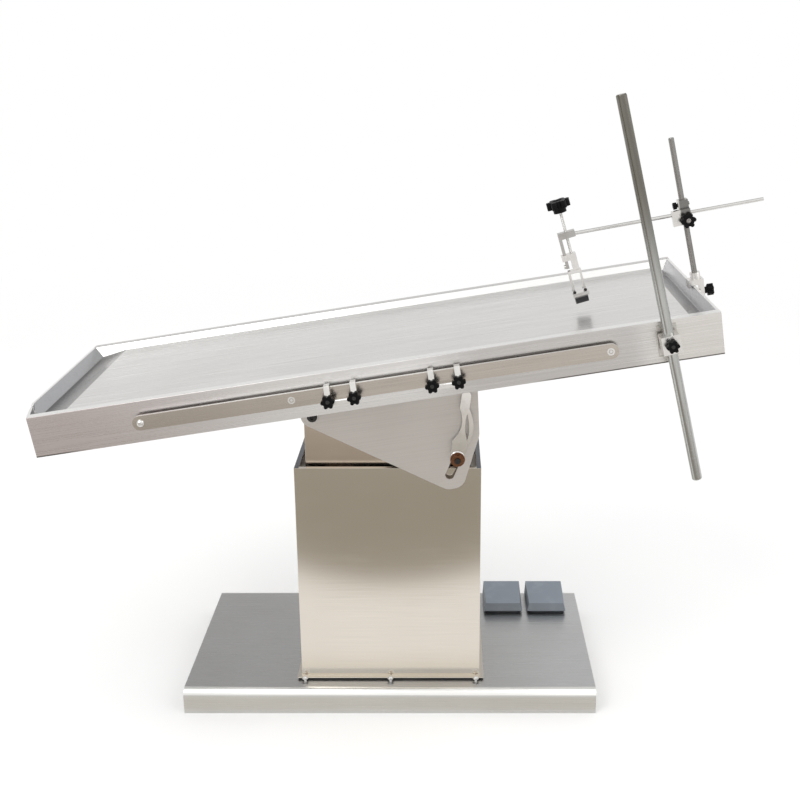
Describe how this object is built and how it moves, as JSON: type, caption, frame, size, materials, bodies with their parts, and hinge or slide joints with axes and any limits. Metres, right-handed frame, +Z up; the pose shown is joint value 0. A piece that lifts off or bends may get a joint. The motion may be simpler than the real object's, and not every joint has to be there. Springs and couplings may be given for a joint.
{
  "type": "animal autopsy table",
  "caption": "Stainless tray table that tilts on a telescoping column, with side rails, tie-down clamps, infusion pole, head holder and foot switches",
  "frame": {"origin": "centre of the base's flat underside, on the floor", "axes": "+X along the tray to its head end, +Y away from the front side that carries the pole, +Z up"},
  "size_m": [1.43, 0.6483, 1.2932],
  "materials": {
    "stainless": "brushed",
    "bright_steel": "polished",
    "painted_steel": "satin",
    "black_plastic": "satin",
    "rubber": "matte",
    "guide_plastic": "matte",
    "brass_nut": "satin",
    "pedal_blue": "matte",
    "pedal_dark": "matte"
  },
  "bodies": {
    "base": {"base_plate": "painted_steel", "base_cover": "stainless", "column_cover": "stainless", "column_gasket": "rubber", "column_screws": "bright_steel", "guide_pads": "guide_plastic", "lift_actuator": "painted_steel", "pedal_base_a": "pedal_dark", "pedal_base_b": "pedal_dark"},
    "column": {"column_inner": "stainless", "head_bracket": "painted_steel", "lift_rod": "bright_steel", "pivot_shaft": "bright_steel", "lock_stud": "bright_steel", "lock_nut": "brass_nut"},
    "tray": {"tray_pan": "stainless", "tray_frame": "painted_steel", "tilt_plate_front": "stainless", "tilt_plate_back": "stainless", "rail_front": "stainless", "rail_back": "stainless", "rail_mounts": "bright_steel", "pole_bracket": "stainless"},
    "lever": {"lock_lever": "bright_steel"},
    "tie_a": {"tie_clamp_a": "bright_steel"},
    "knob_a1": {"tie_knob_a1": "black_plastic", "tie_stud_a1": "bright_steel"},
    "knob_a2": {"tie_knob_a2": "black_plastic", "tie_stud_a2": "bright_steel"},
    "tie_b": {"tie_clamp_b": "bright_steel"},
    "knob_b1": {"tie_knob_b1": "black_plastic", "tie_stud_b1": "bright_steel"},
    "knob_b2": {"tie_knob_b2": "black_plastic", "tie_stud_b2": "bright_steel"},
    "pole_clamp": {"pole_clamp": "bright_steel"},
    "pole": {"iv_pole": "stainless", "pole_caps": "bright_steel"},
    "pole_knob": {"pole_knob": "black_plastic", "pole_stud": "bright_steel"},
    "rim": {"rim_clamp": "bright_steel"},
    "rim_knob": {"rim_knob": "black_plastic", "rim_screw": "bright_steel"},
    "rod": {"stand_rod": "stainless"},
    "cross": {"cross_clamp": "bright_steel"},
    "cross_knob": {"cross_knob": "black_plastic", "cross_stud": "bright_steel"},
    "collar_knob": {"collar_knob": "black_plastic", "collar_stud": "bright_steel"},
    "head": {"head_rod": "bright_steel", "head_yoke": "bright_steel"},
    "press": {"press_bracket": "bright_steel", "press_pad": "rubber"},
    "screw": {"press_screw": "bright_steel", "press_knob": "black_plastic"},
    "pedal_a": {"pedal_a": "pedal_blue"},
    "pedal_b": {"pedal_b": "pedal_blue"}
  },
  "joints": [
    {"name": "lift", "type": "slide", "parent": "base", "child": "column", "axis": [0, 0, 1], "range_m": [0, 0.3]},
    {"name": "tilt", "type": "hinge", "parent": "column", "child": "tray", "pos_m": [-0.148, -0.078, 0.657], "axis": [0, -1, 0], "range_deg": [-9, 9]},
    {"name": "lever_turn", "type": "hinge", "parent": "column", "child": "lever", "pos_m": [0.143, -0.1963, 0.572], "axis": [0, -1, 0], "range_deg": [-40, 40]},
    {"name": "tie_a_slide", "type": "slide", "parent": "tray", "child": "tie_a", "axis": [0.9877, 0, 0.1564], "range_m": [-0.34, 0.065]},
    {"name": "knob_a1_turn", "type": "hinge", "parent": "tie_a", "child": "knob_a1", "pos_m": [-0.09606, -0.381, 0.74774], "axis": [0, -1, 0], "range_deg": [0, 540]},
    {"name": "knob_a2_turn", "type": "hinge", "parent": "tie_a", "child": "knob_a2", "pos_m": [-0.04766, -0.381, 0.75541], "axis": [0, -1, 0], "range_deg": [0, 540]},
    {"name": "tie_b_slide", "type": "slide", "parent": "tray", "child": "tie_b", "axis": [0.9877, 0, 0.1564], "range_m": [-0.065, 0.27]},
    {"name": "knob_b1_turn", "type": "hinge", "parent": "tie_b", "child": "knob_b1", "pos_m": [0.09457, -0.381, 0.77794], "axis": [0, -1, 0], "range_deg": [0, 540]},
    {"name": "knob_b2_turn", "type": "hinge", "parent": "tie_b", "child": "knob_b2", "pos_m": [0.14297, -0.381, 0.7856], "axis": [0, -1, 0], "range_deg": [0, 540]},
    {"name": "pole_swivel", "type": "hinge", "parent": "tray", "child": "pole_clamp", "pos_m": [0.52405, -0.381, 0.85659], "axis": [0, -1, 0], "range_deg": [-30, 30]},
    {"name": "pole_slide", "type": "slide", "parent": "pole_clamp", "child": "pole", "axis": [-0.2419, 0, 0.9703], "range_m": [-0.42, 0.24]},
    {"name": "pole_knob_turn", "type": "hinge", "parent": "pole_clamp", "child": "pole_knob", "pos_m": [0.52405, -0.381, 0.85659], "axis": [0, -1, 0], "range_deg": [0, 540]},
    {"name": "rim_slide", "type": "slide", "parent": "tray", "child": "rim", "axis": [0, 1, 0], "range_m": [-0.207, 0.267]},
    {"name": "rim_knob_turn", "type": "hinge", "parent": "rim", "child": "rim_knob", "pos_m": [0.63846, -0.108, 0.89496], "axis": [0.9877, 0, 0.1564], "range_deg": [0, 540]},
    {"name": "rod_turn", "type": "hinge", "parent": "rim", "child": "rod", "pos_m": [0.62198, -0.108, 0.91462], "axis": [-0.23, 0, 0.9732], "range_deg": [-75, 50]},
    {"name": "cross_slide", "type": "slide", "parent": "rod", "child": "cross", "axis": [-0.23, 0, 0.9732], "range_m": [-0.008, 0.115]},
    {"name": "cross_knob_turn", "type": "hinge", "parent": "cross", "child": "cross_knob", "pos_m": [0.59339, -0.1273, 1.03991], "axis": [0, -1, 0], "range_deg": [0, 540]},
    {"name": "collar_knob_turn", "type": "hinge", "parent": "cross", "child": "collar_knob", "pos_m": [0.57613, -0.108, 1.06511], "axis": [-0.9732, 0, -0.23], "range_deg": [0, 540]},
    {"name": "head_slide", "type": "slide", "parent": "cross", "child": "head", "axis": [0.9836, 0, 0.1805], "range_m": [-0.14, 0.19]},
    {"name": "press_slide", "type": "slide", "parent": "head", "child": "press", "axis": [-0.284, 0, 0.9588], "range_m": [-0.0075, 0.03]},
    {"name": "screw_turn", "type": "hinge", "parent": "press", "child": "screw", "pos_m": [0.35742, -0.1203, 1.00924], "axis": [-0.284, 0, 0.9588], "range_deg": [-1355, 5405]},
    {"name": "pedal_a_press", "type": "hinge", "parent": "base", "child": "pedal_a", "pos_m": [0.257, 0.209, 0.071], "axis": [1, 0, 0], "range_deg": [0, 3.5], "stiffness_Nm_per_rad": 2, "springref_deg": -6.88},
    {"name": "pedal_b_press", "type": "hinge", "parent": "base", "child": "pedal_b", "pos_m": [0.361, 0.209, 0.071], "axis": [1, 0, 0], "range_deg": [0, 3.5], "stiffness_Nm_per_rad": 2, "springref_deg": -6.88}
  ],
  "couplings": [
    {"joint": "screw_turn", "follows": "press_slide", "rad_per_m": 3141.6}
  ]
}
